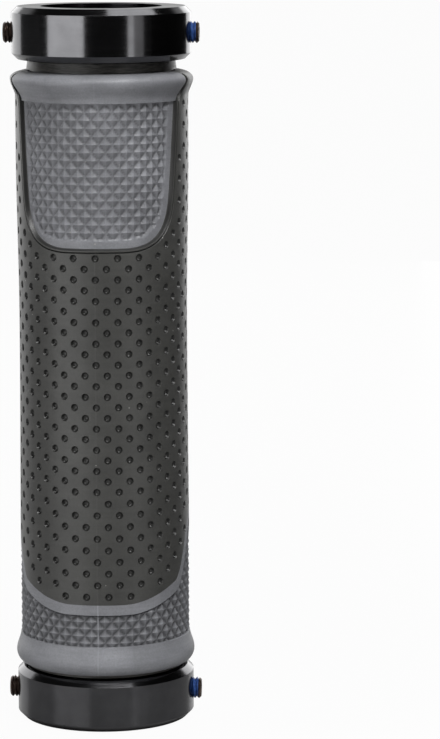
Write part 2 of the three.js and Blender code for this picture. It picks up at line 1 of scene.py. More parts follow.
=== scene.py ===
"""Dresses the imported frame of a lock-on handlebar grip and sets it in a plain studio."""

from math import atan2, ceil, cos, degrees, hypot, pi, radians, sin, sqrt

import bmesh
import bpy
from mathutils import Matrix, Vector


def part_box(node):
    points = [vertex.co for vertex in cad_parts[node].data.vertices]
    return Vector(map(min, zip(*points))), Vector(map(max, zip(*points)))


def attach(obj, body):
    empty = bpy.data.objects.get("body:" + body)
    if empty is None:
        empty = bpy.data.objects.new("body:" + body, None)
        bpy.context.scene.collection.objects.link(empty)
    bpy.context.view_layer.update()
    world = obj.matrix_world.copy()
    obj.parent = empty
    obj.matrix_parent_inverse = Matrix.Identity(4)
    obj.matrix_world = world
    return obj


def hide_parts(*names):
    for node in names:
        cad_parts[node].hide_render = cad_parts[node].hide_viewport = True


bl_info = {
    "name": "Lock-on handlebar grip",
    "version": (1, 0, 0),
    "blender": (4, 5, 0),
    "location": "View3D > Sidebar > Grip",
    "description": "Builds a two-colour rubber handlebar grip with its clamp rings and set screws",
    "category": "Add Mesh",
}

MM = 0.001
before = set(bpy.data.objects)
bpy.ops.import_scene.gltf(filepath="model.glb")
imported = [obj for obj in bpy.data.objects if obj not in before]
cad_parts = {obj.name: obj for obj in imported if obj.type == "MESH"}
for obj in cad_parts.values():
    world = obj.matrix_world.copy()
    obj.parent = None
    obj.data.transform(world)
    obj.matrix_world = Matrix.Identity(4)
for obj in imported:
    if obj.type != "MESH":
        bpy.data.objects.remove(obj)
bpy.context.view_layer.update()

# Places and sizes read from the frame
RING_LOW, RING_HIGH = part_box("lower_clamp_ring")
RING_RADIUS = RING_HIGH[1]
RING_HEIGHT = RING_HIGH[2] - RING_LOW[2]
OVERALL_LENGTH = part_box("upper_clamp_ring")[1][2]
SLEEVE_LOW, SLEEVE_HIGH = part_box("core_sleeve")
SHOULDER_RADIUS = SLEEVE_HIGH[1]
SCREW_LOW, SCREW_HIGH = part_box("lower_right_set_screw")
LIP_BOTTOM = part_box("grey_end_skirt")[0][2]
RUBBER_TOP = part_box("black_rubber_body")[1][2]

# Rings, sleeve and screws
BORE_RADIUS = 11.15 * MM
PIECE_GAP = 0.3 * MM
RING_CHAMFER = 1.1 * MM
RING_EDGE = 0.12 * MM
SOCKET_DEPTH = 2 * MM
SPIGOT_RADIUS = 12.45 * MM
KEY_COUNT = 4
KEY_WIDTH = 3 * MM
KEY_HEIGHT = 1.4 * MM
KEY_SETBACK = 0.1 * MM
SLEEVE_RADIUS = 13.2 * MM
SHOULDER_LENGTH = 0.7 * MM
NECK_RADIUS = 13.8 * MM
NECK_TAPER = 0.2 * MM
NECK_LENGTH = 1.5 * MM
SCREW_RADIUS = 2 * MM
SCREW_POINT_RADIUS = 1.3 * MM
SCREW_POINT_LENGTH = 0.6 * MM
SCREW_CUP_RADIUS = 0.9 * MM
SCREW_CUP_DEPTH = 0.5 * MM
SCREW_END_CHAMFER = 0.35 * MM
SCREW_HEX_ACROSS_FLATS = 2 * MM
SCREW_HEX_DEPTH = 2.2 * MM
SCREW_CLEARANCE = 0.05 * MM
SCREW_AXIS = 0.01 * MM
THREAD_CORE = 0.7 * SCREW_RADIUS

# Thread: how steeply it is cut and how flat its crest is, and in pitches how it runs out
THREAD_SLOPE = 2.4
THREAD_CREST = 0.1
THREAD_RUNOUT = 0.25
THREAD_START = 0.35

# Rubber barrel and its end lips
RUBBER_BORE = SLEEVE_RADIUS + PIECE_GAP
RUBBER_RADIUS = 15.9 * MM
RUBBER_BOTTOM = LIP_BOTTOM + 0.45 * MM
WAIST_DEPTH = 0.37 * MM
LOWER_END_DEPTH = 0.07 * MM
WAIST_BELOW_TOP = 44.9 * MM
FULL_BELOW_TOP = 14.9 * MM
LOWER_LIP_ROLL = 2.05 * MM
LOWER_LIP_FLARE = 3.6 * MM
LOWER_LIP_BORE = 15.0 * MM
UPPER_LIP_ROLL = 1.5 * MM
UPPER_LIP_FLARE = 3.2 * MM
UPPER_LIP_BORE = 13.85 * MM
LOWER_CREST = LIP_BOTTOM + LOWER_LIP_ROLL
UPPER_CREST = RUBBER_TOP - UPPER_LIP_ROLL
LOWER_CREST_RADIUS = RING_RADIUS + 0.18 * MM
UPPER_CREST_RADIUS = RING_RADIUS + 0.34 * MM

# Window in the black rubber, front and back: half its outline, measured round the barrel
WINDOW_BOTTOM = RUBBER_TOP - 31.4 * MM
WINDOW_FLAT = 5.5 * MM
WINDOW_CORNER_WIDTH = 10.6 * MM
WINDOW_CORNER_HEIGHT = 9 * MM
WINDOW_CORNER_HANDLES = (0.61, 0.93, 0.31)
WINDOW_TOP_WIDTH = 17.9 * MM
WINDOW_RECESS = 0.8 * MM
WINDOW_BEVEL = 0.9 * MM
WINDOW_RIM = 1.5 * MM
WINDOW_LEFT_RIM = 0.6 * MM
WALL_WIDTH = 0.35 * MM
WALL_TURN = 0.85 * WALL_WIDTH
BEAD_WIDTH = 0.2 * MM
GROOVE_WIDTH = 0.35 * MM
GROOVE_DEPTH = 0.3 * MM
GROOVE_MIDDLE = 0.4 * GROOVE_WIDTH
PANEL_OVERLAP = 0.05 * MM
COLLAR_WIDTH = 19.6 * MM
COLLAR_RECESS = 0.4 * MM
KNURL_TOP = RUBBER_TOP - 5.2 * MM

# Grey skirt round the lower end: its upper line rises gently towards the sides, in degrees
# from the front, and then steeply into a tongue up each side
SKIRT_FRONT = RUBBER_BOTTOM + 12.95 * MM
SKIRT_RISE = (6 * MM, 18, 100)
TONGUE_RISE = (9.7 * MM, 60, 87)
SKIRT_BAND = 1.9 * MM
SKIRT_BAND_DEGREES = 2
SKIRT_KNURL_BOTTOM = RUBBER_BOTTOM + 5.1 * MM

# Knurl and dimples
WINDOW_HALF_COLUMN = 1.3 * MM / (RUBBER_RADIUS - WINDOW_RECESS)
WINDOW_HALF_ROW = 1.455 * MM
WINDOW_TIP_PROUD = 0.1 * MM
SKIRT_COLUMNS = 76
SKIRT_HALF_ROW = 1.335 * MM
SKIRT_TIP_SINK = 0.05 * MM
KNURL_STEP = 0.1 * MM
KNURL_FADE = 0.3 * MM
STAR_POWER = 0.72
BAND_GROOVE = 0.5 * MM
BAND_GROOVE_DEPTH = 0.75 * MM
DIMPLE_COLUMNS = 48
DIMPLE_LOWER_ROW = 2.17 * MM
DIMPLE_UPPER_ROW = 1.95 * MM
DIMPLE_LOWER_ROWS = 9
DIMPLE_FIRST = SKIRT_FRONT + 1.5 * MM
DIMPLE_MARGIN = 0.08 * MM
DIMPLE_ROWS_BELOW = 4

# In a dimple's radii: what still counts as the dimple, and the circle that makes its tile's edge
DIMPLE_REACH = 1.1
DIMPLE_TILE = 2

# Shares of a dimple's radius and depth, from its rim to its bottom
DIMPLE_PROFILE = ((1, 0), (0.88, 0.3), (0.66, 0.8), (0.4, 1))

WHITE = (1, 1, 1, 1)

# Tones by relief, from bottom to top: dirt and painted shade darken dimples, grooves and window walls,
# painted highlight lightens the dimples' bottoms, and wear and painted highlight lighten the tips
BLACK_DIRT_AND_PAINTED_LIGHT = [(0.0, 0.95), (0.18, 0.5), (0.35, 0.22), (0.8, 0.32), (0.96, 1.0)]
GREY_WEAR_AND_PAINTED_LIGHT = [(0.0, 0.3), (0.22, 0.62), (0.5, 0.96), (1.0, 1.2)]

# Steps along curves and round turned pieces
RING_STEPS = 144
HOLE_STEPS = 48
SCREW_STEPS = 32
THREAD_STEPS = 8
DIMPLE_SIDES = 12
SKIRT_EDGE_STEPS = 304
KNURL_SUBSTEPS = 4
WINDOW_STEPS = 48
CORNER_STEPS = 20
LIP_STEPS = 8

# How far helper solids go past a piece, widely or just so, how near they skim, what merges
FAR = 6 * MM
OVERSHOOT = 1 * MM
SKIM = 0.02 * MM
MERGE = 0.001 * MM

# Floor, with the share of plain white in what the camera sees of it, and black card, in metres
FLOOR_FRONT, FLOOR_BACK, FLOOR_SIDE = -0.42, 4.0, 3.0
FLOOR_WHITE = 0.96
FLAG_SIDE, FLAG_MIDDLE, FLAG_DEPTH, FLAG_HEIGHT = 0.09, 0.03, 0.14, 0.25

# White backdrop: where it stands, the cosines at its edge, and how bright mirrors show it. The
# room is dark beside it, and lights matt surfaces by another amount
BACKDROP_DEGREES = 190
BACKDROP_EDGE = (0.55, 0.68)
BACKDROP_MIRRORED = 0.5
ROOM_MIRRORED = 0.03
ROOM_FILL = 0.3

# Each light's azimuth, distance, height, size and radiance. Low ones stand upright, and those
# above the height given below look at the grip
LIGHTS = {
    "left_softbox": (-41.5, 0.8, 0.1, (0.74, 0.22), 3.0),
    "right_softbox": (49.5, 0.8, 0.12, (0.3, 0.2), 0.7),
    "right_strip": (42.8, 0.8, 0.12, (0.112, 0.2), 1.5),
    "left_rim": (-142, 0.7, 0.2, (0.6, 0.44), 1.35),
    "right_rim": (160, 0.7, 0.2, (0.38, 0.44), 1.7),
    "overhead_softbox": (105, 0.26, 0.85, (0.42, 0.44), 2.7),
    "key": (10, 0.6, 1.1, (0.6, 0.5), 6.0),
    "right_key": (32, 0.58, 0.8, (0.34, 0.3), 12.0),
}
LIGHTS_UPRIGHT_BELOW = 0.5
LIGHTS_AIM = Vector((0, 0, 0.09))

# Camera: place, angles and focal length, fitted to the photo
CAMERA_PLACE = (57.0 * MM, -627.4 * MM, 160.4 * MM)
CAMERA_DEGREES = (81.4, 0.15, 3.202)
CAMERA_LENS = 166.8


def linear(code):
    """Linear colour from an sRGB hex code."""
    channels = [int(code[place:place + 2], 16) / 255 for place in (0, 2, 4)]
    return [c / 12.92 if c <= 0.04045 else ((c + 0.055) / 1.055) ** 2.4 for c in channels] + [1.0]


def length_property(name, description, default):
    return bpy.props.FloatProperty(
        name=name, description=description, default=default, min=0, precision=5,
        subtype="DISTANCE", unit="LENGTH",
    )


def colour_property(name, description, code):
    return bpy.props.FloatVectorProperty(
        name=name, description=description, default=linear(code), size=4, min=0, max=1,
        subtype="COLOR",
    )


class GripSizes(bpy.types.PropertyGroup):
    """Sizes of the grip's surface relief and small parts."""

    dimple_diameter: length_property("Dimple diameter", "Across a dimple's rim", 1.45 * MM)
    dimple_depth: length_property("Dimple depth", "From the barrel to a dimple's bottom", 0.62 * MM)
    window_knurl: length_property("Window knurl", "From tip to groove in the windows", 0.5 * MM)
    skirt_knurl: length_property("Skirt knurl", "From tip to groove on the skirt", 0.5 * MM)
    thread_pitch: length_property("Thread pitch", "From crest to crest on a set screw", 0.7 * MM)
    thread_depth: length_property("Thread depth", "From crest to root on a set screw", 0.36 * MM)
    flash_width: length_property("Flash line", "Width of the line that the mould's halves leave", 0.2 * MM)
    patch_length: length_property("Thread lock", "Shown length of the blue thread lock", 0.95 * MM)


class GripColours(bpy.types.PropertyGroup):
    """Colours of the grip's materials."""

    black_rubber: colour_property("Black rubber", "Body of the grip", "41413f")
    grey_rubber: colour_property("Grey rubber", "Windows and skirt", "747579")
    sleeve: colour_property("Sleeve", "Hard sleeve under the rubber", "2b2a28")
    ring: colour_property("Clamp ring", "Black anodised rings", "5a5a5c")
    screw: colour_property("Set screw", "Black oxide on the screws", "5f524c")
    thread_lock: colour_property("Thread lock", "Patch on the screw's thread", "2b4a86")
    floor: colour_property("Floor", "Floor of the studio", "a8a8a8")


def mix(a, b, share):
    return a + (b - a) * share


def clamp(value, low=0.0, high=1.0):
    return min(max(value, low), high)


def ease(share):
    t = clamp(share)
    return t * t * (3 - 2 * t)


def quarter_round(share):
    return 1 - sqrt(1 - clamp(share) ** 2)


def steps_between(low, high, count):
    """Evenly spaced values after the low one, up to the high one."""
    return [mix(low, high, (index + 1) / count) for index in range(count)]


def polar(radius, angle, height):
    """Point on the grip: the angle runs from the front, -Y, towards +X."""
    return Vector((radius * sin(angle), -radius * cos(angle), height))


def folded(angle):
    """Angle from the front or the back, whichever is nearer."""
    return abs((angle + pi / 2) % pi - pi / 2)


def barrel_radius(height):
    """Radius of the plain barrel between its lips, slightly waisted."""
    waist = RUBBER_TOP - WAIST_BELOW_TOP
    full = RUBBER_TOP - FULL_BELOW_TOP
    lower = LOWER_CREST + LOWER_LIP_FLARE
    if height < waist:
        depth = mix(LOWER_END_DEPTH, WAIST_DEPTH, ease((height - lower) / (waist - lower)))
    else:
        depth = mix(WAIST_DEPTH, 0, ease((height - waist) / (full - waist)))
    return RUBBER_RADIUS - depth


def body_radius(height):
    """Radius of the rubber's outside, lips included."""
    if height < LOWER_CREST:
        share = quarter_round((LOWER_CREST - height) / LOWER_LIP_ROLL)
        return mix(LOWER_CREST_RADIUS, LOWER_LIP_BORE, share)
    if height > UPPER_CREST:
        share = quarter_round((height - UPPER_CREST) / UPPER_LIP_ROLL)
        return mix(UPPER_CREST_RADIUS, UPPER_LIP_BORE, share)
    upper = mix(UPPER_CREST_RADIUS, barrel_radius(height), ease((UPPER_CREST - height) / UPPER_LIP_FLARE))
    return mix(LOWER_CREST_RADIUS, upper, ease((height - LOWER_CREST) / LOWER_LIP_FLARE))


def panel_radius(height):
    """Radius of a grey panel: sunk under the barrel, and level with it at the lip."""
    if height < KNURL_TOP:
        return body_radius(height) - WINDOW_RECESS
    climb = ease((height - KNURL_TOP) / (UPPER_CREST - KNURL_TOP))
    return body_radius(height) - COLLAR_RECESS * (1 - climb)


def skirt_rise(angle):
    """How far the skirt's upper line has risen at an angle from the front or the back."""
    return sum(
        height * ease((degrees(angle) - start) / (end - start))
        for height, start, end in (SKIRT_RISE, TONGUE_RISE)
    )


def skirt_edge(angle):
    """Height of the line between black rubber and grey skirt."""
    return SKIRT_FRONT + skirt_rise(folded(angle))


def skirt_lean(angle):
    """How much longer a distance square to that line is when taken straight up."""
    step = radians(1)
    slope = (skirt_edge(angle + step) - skirt_edge(angle - step)) / (2 * step * RUBBER_RADIUS)
    return hypot(1, slope)


def skirt_step(angle):
    """Height of the step under the skirt's plain band, the same line lower and further out."""
    return SKIRT_FRONT - SKIRT_BAND + skirt_rise(folded(angle) - radians(SKIRT_BAND_DEGREES))


def knurled_outline():
    """Right half of the knurled part of a window's outline, from its straight bottom edge."""
    low, side, rise = WINDOW_CORNER_HANDLES
    handles = [
        (WINDOW_FLAT, WINDOW_BOTTOM),
        (WINDOW_FLAT + WINDOW_CORNER_WIDTH * low, WINDOW_BOTTOM),
        (WINDOW_FLAT + WINDOW_CORNER_WIDTH * side, WINDOW_BOTTOM + WINDOW_CORNER_HEIGHT * rise),
        (WINDOW_FLAT + WINDOW_CORNER_WIDTH, WINDOW_BOTTOM + WINDOW_CORNER_HEIGHT),
    ]
    points = []
    for step in range(CORNER_STEPS + 1):
        t = step / CORNER_STEPS
        weights = ((1 - t) ** 3, 3 * t * (1 - t) ** 2, 3 * t * t * (1 - t), t ** 3)
        points.append(tuple(sum(w * h[axis] for w, h in zip(weights, handles)) for axis in (0, 1)))
    for share in steps_between(0, 1, LIP_STEPS):
        points.append((mix(handles[3][0], WINDOW_TOP_WIDTH, share), mix(handles[3][1], KNURL_TOP, share)))
    return points


def window_outline():
    """Right half of the whole outline, which goes on up past the lip."""
    return knurled_outline() + [
        (mix(WINDOW_TOP_WIDTH, COLLAR_WIDTH, share), mix(KNURL_TOP, UPPER_CREST, share))
        for share in steps_between(0, 1, LIP_STEPS)
    ] + [(COLLAR_WIDTH, RUBBER_TOP + OVERSHOOT)]


def offset_outline(points, distance):
    """The outline moved outwards, or inwards where the distance is negative."""
    moved = []
    for index, (arc, height) in enumerate(points):
        before = points[max(index - 1, 0)]
        after = points[min(index + 1, len(points) - 1)]
        along = Vector((1, 0)) if index == 0 else (Vector(after) - Vector(before)).normalized()
        drop = 0 if index == len(points) - 1 else along.x * distance
        moved.append((arc + along.y * distance, height - drop))
    return moved


def half_width_at(height, outline):
    """Half the width of an outline at a height, or 0 below it."""
    if height <= outline[0][1]:
        return 0
    for (low_arc, low), (high_arc, high) in zip(outline, outline[1:]):
        if height <= high:
            return mix(low_arc, high_arc, (height - low) / (high - low))
    return outline[-1][0]


def dimple_height(row):
    """Height of a dimple row, which need not be a whole number."""
    lower = min(row, DIMPLE_LOWER_ROWS)
    return DIMPLE_FIRST + lower * DIMPLE_LOWER_ROW + (row - lower) * DIMPLE_UPPER_ROW


def has_dimple(angle, height, radius, outline):
    """A dimple is left out where the window, the skirt or the lip would cut it."""
    reach = radius + DIMPLE_MARGIN
    half_width = half_width_at(height + reach, outline)
    clear_of_window = half_width == 0 or folded(angle) * RUBBER_RADIUS - reach > half_width
    clear_of_skirt = height - skirt_edge(angle) > reach * skirt_lean(angle)
    return clear_of_window and clear_of_skirt and height < UPPER_CREST - UPPER_LIP_FLARE - reach


def star_norm(across, up):
    """Distance from a tip that grows fastest between the pyramid's four ridges."""
    return (abs(across) ** STAR_POWER + abs(up) ** STAR_POWER) ** (1 / STAR_POWER)


def knurl(column, row):
    """Relief of pyramids with hollow sides, 1 at the tips and 0 at its lowest, from counts of
    half pitches.
    """
    across = column - 2 * round(column / 2)
    if round(row) % 2:
        across = (column - 1) - 2 * round((column - 1) / 2)
    up = row - round(row)
    nearest = star_norm(across, up)
    shifted = star_norm(1 - abs(across), 1 - abs(up))
    return 1 - min(nearest, shifted) / star_norm(0.5, 0.5)


def deselect_all():
    bpy.ops.object.select_all(action="DESELECT")


def activate(piece):
    deselect_all()
    piece.select_set(True)
    bpy.context.view_layer.objects.active = piece


def edit(piece, select="SELECT"):
    activate(piece)
    bpy.ops.object.mode_set(mode="EDIT")
    bpy.ops.mesh.select_all(action=select)


def leave_edit():
    bpy.ops.object.mode_set(mode="OBJECT")


def add(primitive, name, **settings):
    """Adds a primitive with nothing else selected, and moves its place into its mesh."""
    deselect_all()
    primitive(**settings)
    piece = bpy.context.object
    piece.name = name
    bpy.ops.object.transform_apply()
    return piece


def close_up(piece):
    """Merges what meets, and turns all faces outwards."""
    edit(piece)
    bpy.ops.mesh.remove_doubles(threshold=MERGE)
    bpy.ops.mesh.normals_make_consistent(inside=False)
    leave_edit()


def reshape(piece, place):
    """Puts each of the piece's points where the function says."""
    for vertex in piece.data.vertices:
        vertex.co = place(vertex.co)


def apply_modifier(piece, kind, **settings):
    activate(piece)
    bpy.ops.object.modifier_add(type=kind)
    modifier = piece.modifiers[-1]
    for name, value in settings.items():
        setattr(modifier, name, value)
    bpy.ops.object.modifier_apply(modifier=modifier.name)


def combine(piece, other, operation="DIFFERENCE"):
    """Cuts a helper solid out of a piece, or joins or intersects them, and removes the helper."""
    apply_modifier(piece, "BOOLEAN", operation=operation, solver="EXACT", object=other)
    bpy.data.objects.remove(other)


def shade(piece, degrees):
    activate(piece)
    bpy.ops.object.shade_smooth_by_angle(angle=radians(degrees))


def new_grid(name, columns, rows):
    """Flat grid whose points are then given their place by column and row."""
    return add(bpy.ops.mesh.primitive_grid_add, name, x_subdivisions=columns, y_subdivisions=rows, size=2)


def grid_place(point, columns, rows):
    return round((point.x + 1) / 2 * columns), round((point.y + 1) / 2 * rows)


def thicken(piece):
    """Turns an open skin into a solid down to the rubber's bore."""
    edit(piece)
    bpy.ops.mesh.extrude_region_move()
    mesh = bmesh.from_edit_mesh(piece.data)
    for vertex in mesh.verts:
        if vertex.select:
            scale = RUBBER_BORE / hypot(vertex.co.x, vertex.co.y)
            vertex.co.x *= scale
            vertex.co.y *= scale
    bmesh.update_edit_mesh(piece.data)
    leave_edit()
    close_up(piece)


def draw_out(radius, height, profile):
    """Draws the selected loop out along a profile of radii and heights."""
    for next_radius, next_height in profile:
        bpy.ops.mesh.extrude_edges_move(
            TRANSFORM_OT_translate={"value": (0, 0, next_height - height)},
        )
        scale = next_radius / radius
        bpy.ops.transform.resize(value=(scale, scale, 1), center_override=(0, 0, 0))
        radius, height = next_radius, next_height


def turned(name, profile, steps):
    """Solid of revolution about Z, drawn out from a circle along a closed profile."""
    radius, height = profile[0]
    piece = add(
        bpy.ops.mesh.primitive_circle_add, name, vertices=steps, radius=radius, location=(0, 0, height),
    )
    edit(piece)
    draw_out(radius, height, profile[1:] + profile[:1])
    leave_edit()
    close_up(piece)
    return piece


def everywhere(radius):
    return lambda height: radius


def under_surface(depth):
    """Radius by height at a depth under the barrel, which goes on straight past the collar."""
    return lambda height: body_radius(min(height, KNURL_TOP)) - depth


def window_block(layers, centre):
    """Block bent round the grip, whose layers have a radius by height and stand out from the
    window's outline.
    """
    outline = window_outline()
    rows = len(outline) - 1
    piece = new_grid("window_block", WINDOW_STEPS, rows)
    edit(piece)
    for _ in layers[1:]:
        bpy.ops.mesh.extrude_region_move(TRANSFORM_OT_translate={"value": (0, 0, 1)})
    leave_edit()
    outlines = [offset_outline(outline, offset) for _, offset in layers]

    def place(point):
        column, row = grid_place(point, WINDOW_STEPS, rows)
        layer = round(point.z)
        arc, height = outlines[layer][row]
        angle = centre + (2 * column / WINDOW_STEPS - 1) * arc / RUBBER_RADIUS
        return polar(layers[layer][0](height), angle, height)

    reshape(piece, place)
    close_up(piece)
    return piece


def skirt_block(top):
    """Ring-shaped solid under a line that rises and falls round the grip."""
    profile = [
        (BORE_RADIUS, LIP_BOTTOM - FAR), (RING_RADIUS + FAR, LIP_BOTTOM - FAR),
        (RING_RADIUS + FAR, OVERALL_LENGTH), (BORE_RADIUS, OVERALL_LENGTH),
    ]
    piece = turned("skirt_block", profile, SKIRT_EDGE_STEPS)

    def place(point):
        if point.z > SKIRT_FRONT:
            return Vector((point.x, point.y, top(atan2(point.x, -point.y))))
        return point

    reshape(piece, place)
    return piece


def in_dimple(across, up, radius):
    return hypot(across, up) < DIMPLE_REACH * radius


def dimple_tile(sizes, width, height):
    """One dimple in a rectangle of barrel, and its neighbour one column on and one row up."""
    radius = sizes.dimple_diameter / 2
    reach = DIMPLE_TILE * radius
    tile = add(bpy.ops.mesh.primitive_circle_add, "black_rubber", vertices=DIMPLE_SIDES, radius=reach)
    edit(tile)
    draw_out(reach, 0, [(share * radius, -sink * sizes.dimple_depth) for share, sink in DIMPLE_PROFILE])
    bpy.ops.mesh.edge_face_add()
    leave_edit()

    def square(point):
        if in_dimple(point.x, point.y, radius):
            return point
        angle = atan2(point.y, point.x)
        across = clamp(2 * cos(angle), -1, 1)
        return Vector((across * width / 2, round(2 * sin(angle)) / 2 * height, 0))

    reshape(tile, square)
    edit(tile)
    bpy.ops.mesh.duplicate_move(TRANSFORM_OT_translate={"value": (width, height, 0)})
    leave_edit()
    return tile


def dimpled_barrel(sizes):
    """Open tube with the dimples pressed into it, from under the skirt's edge to the lip."""
    width = 2 * pi * RUBBER_RADIUS / DIMPLE_COLUMNS
    height = DIMPLE_LOWER_ROW
    piece = dimple_tile(sizes, width, height)
    upper_rows = (UPPER_CREST - dimple_height(DIMPLE_LOWER_ROWS)) / DIMPLE_UPPER_ROW
    pairs = ceil((DIMPLE_ROWS_BELOW + DIMPLE_LOWER_ROWS + upper_rows) / 2)
    for repeats, offset in ((DIMPLE_COLUMNS // 2, (2 * width, 0, 0)), (pairs, (0, 2 * height, 0))):
        apply_modifier(
            piece, "ARRAY", count=repeats, use_relative_offset=False, use_constant_offset=True,
            constant_offset_displace=offset, use_merge_vertices=True, merge_threshold=10 * MERGE,
        )
    outline = offset_outline(window_outline(), WINDOW_BEVEL)
    radius = sizes.dimple_diameter / 2

    def wrap(point):
        column = round(point.x / width)
        row = point.y / height
        nearest = column % 2 + 2 * round((row - column % 2) / 2)
        across, up = point.x - column * width, point.y - nearest * height
        angle = (column + 1) * 2 * pi / DIMPLE_COLUMNS
        centre = dimple_height(nearest - DIMPLE_ROWS_BELOW)
        if not in_dimple(across, up, radius):
            level = dimple_height(row - DIMPLE_ROWS_BELOW)
            return polar(body_radius(level), angle + across / RUBBER_RADIUS, level)
        level = centre + up
        sink = point.z if has_dimple(angle, centre, radius, outline) else 0
        return polar(body_radius(level) + sink, angle + across / RUBBER_RADIUS, level)

    reshape(piece, wrap)
    close_up(piece)
    return piece


def selected_loop(piece):
    """Mean radius and height of the selected points."""
    mesh = bmesh.from_edit_mesh(piece.data)
    loop = [vertex.co for vertex in mesh.verts if vertex.select]
    return sum(hypot(co.x, co.y) for co in loop) / len(loop), sum(co.z for co in loop) / len(loop)


def upper_lip_roll():
    """Heights from the upper lip's crest over its rounded edge to the top."""
    return [UPPER_CREST + UPPER_LIP_ROLL * sin(share * pi / 2)
            for share in steps_between(0, 1, LIP_STEPS)]


def black_rubber(sizes):
    """Black body: dimpled barrel with its lip and bore, cut by both windows and the skirt."""
    piece = dimpled_barrel(sizes)
    lip_start = UPPER_CREST - UPPER_LIP_FLARE
    bottom = SKIRT_FRONT - OVERSHOOT
    heights = steps_between(lip_start, UPPER_CREST, LIP_STEPS) + upper_lip_roll()
    lip = [(body_radius(height), height) for height in heights]
    edit(piece)
    bpy.ops.mesh.bisect(plane_co=(0, 0, lip_start), plane_no=(0, 0, 1), clear_outer=True)
    draw_out(*selected_loop(piece), lip + [(RUBBER_BORE, RUBBER_TOP), (RUBBER_BORE, bottom)])
    bpy.ops.mesh.select_all(action="SELECT")
    bpy.ops.mesh.bisect(plane_co=(0, 0, bottom), plane_no=(0, 0, -1), clear_outer=True)
    leave_edit()
    edit(piece, "DESELECT")
    bpy.ops.mesh.select_non_manifold()
    bpy.ops.mesh.bridge_edge_loops()
    leave_edit()
    close_up(piece)
    bead = WALL_WIDTH + BEAD_WIDTH
    layers = [
        (everywhere(BORE_RADIUS), 0),
        (under_surface(WINDOW_RECESS), 0),
        (under_surface(BEAD_WIDTH / 2), WALL_TURN),
        (under_surface(SKIM), WALL_WIDTH),
        (under_surface(SKIM), bead),
        (under_surface(GROOVE_DEPTH), bead + GROOVE_MIDDLE),
        (under_surface(-SKIM), bead + GROOVE_WIDTH),
        (everywhere(RING_RADIUS + FAR), bead + GROOVE_WIDTH),
    ]
    for centre in (0, pi):
        combine(piece, window_block(layers, centre))
    combine(piece, skirt_block(skirt_edge))
    return piece


def grey_panel(name, sizes, centre):
    """Grey panel in a window: knurl inside a sunken rim, which is narrower at the left, then
    the collar up to the lip.
    """
    cells = 2 * round(COLLAR_WIDTH / RUBBER_RADIUS / WINDOW_HALF_COLUMN) + 1
    columns = cells * KNURL_SUBSTEPS
    knurl_rows = ceil((KNURL_TOP - WINDOW_BOTTOM) / WINDOW_HALF_ROW) * KNURL_SUBSTEPS
    knurl_end = KNURL_TOP - KNURL_STEP
    heights = [knurl_end - (knurl_rows - row) * WINDOW_HALF_ROW / KNURL_SUBSTEPS
               for row in range(knurl_rows + 1)]
    heights += [KNURL_TOP] + steps_between(KNURL_TOP, UPPER_CREST, LIP_STEPS) + upper_lip_roll()
    rows = len(heights) - 1
    piece = new_grid(name, columns, rows)
    field = offset_outline(knurled_outline(), -WINDOW_RIM)

    def place(point):
        column, row = grid_place(point, columns, rows)
        height = heights[row]
        across = column / KNURL_SUBSTEPS - cells / 2
        radius = panel_radius(height)
        arc = across * WINDOW_HALF_COLUMN * RUBBER_RADIUS
        half_width = half_width_at(height, field)
        inside = min(half_width - arc, half_width + WINDOW_RIM - WINDOW_LEFT_RIM + arc)
        if row <= knurl_rows and half_width > 0 and inside > 0:
            relief = knurl(across + 0.5, row / KNURL_SUBSTEPS - knurl_rows // KNURL_SUBSTEPS + 1)
            fade = ease(inside / KNURL_FADE)
            radius += fade * (WINDOW_TIP_PROUD - sizes.window_knurl * (1 - relief))
        return polar(radius, centre + across * WINDOW_HALF_COLUMN, height)

    reshape(piece, place)
    thicken(piece)
    layers = [(everywhere(radius), PANEL_OVERLAP) for radius in (BORE_RADIUS, RING_RADIUS + FAR)]
    combine(piece, window_block(layers, centre), "INTERSECT")
    return piece


def skirt_knurl(sizes):
    """Lower lip and knurled part of the skirt, up to the step under its plain band."""
    columns = SKIRT_COLUMNS * KNURL_SUBSTEPS
    heights = [LOWER_CREST - LOWER_LIP_ROLL * cos(share * pi / 2)
               for share in (index / LIP_STEPS for index in range(LIP_STEPS + 1))]
    heights += steps_between(LOWER_CREST, SKIRT_KNURL_BOTTOM - KNURL_STEP, LIP_STEPS)
    plain_rows = len(heights)
    top = skirt_edge(pi / 2)
    knurl_rows = ceil((top - SKIRT_KNURL_BOTTOM) / SKIRT_HALF_ROW + 1)
    heights += [SKIRT_KNURL_BOTTOM + row * SKIRT_HALF_ROW / KNURL_SUBSTEPS
                for row in range(knurl_rows * KNURL_SUBSTEPS)]
    rows = len(heights) - 1
    piece = new_grid("grey_skirt", columns, rows)

    def place(point):
        column, row = grid_place(point, columns, rows)
        angle, height = column / columns * 2 * pi, heights[row]
        radius = body_radius(height)
        if row >= plain_rows:
            up = (row - plain_rows) / KNURL_SUBSTEPS - 0.5
            relief = knurl(column / KNURL_SUBSTEPS, up)
            below_band = (skirt_step(angle) - height) / BAND_GROOVE
            groove = BAND_GROOVE_DEPTH * (1 - ease(below_band))
            radius -= SKIRT_TIP_SINK + max(sizes.skirt_knurl * (1 - relief), groove)
        return polar(radius, angle, height)

    reshape(piece, place)
    close_up(piece)
    thicken(piece)
    combine(piece, skirt_block(skirt_step), "INTERSECT")
    underside = turned("underside", [
        (BORE_RADIUS, LIP_BOTTOM - FAR), (LOWER_LIP_BORE, LIP_BOTTOM - FAR),
        (LOWER_LIP_BORE, RUBBER_BOTTOM), (BORE_RADIUS, RUBBER_BOTTOM),
    ], RING_STEPS)
    combine(piece, underside)
    return piece


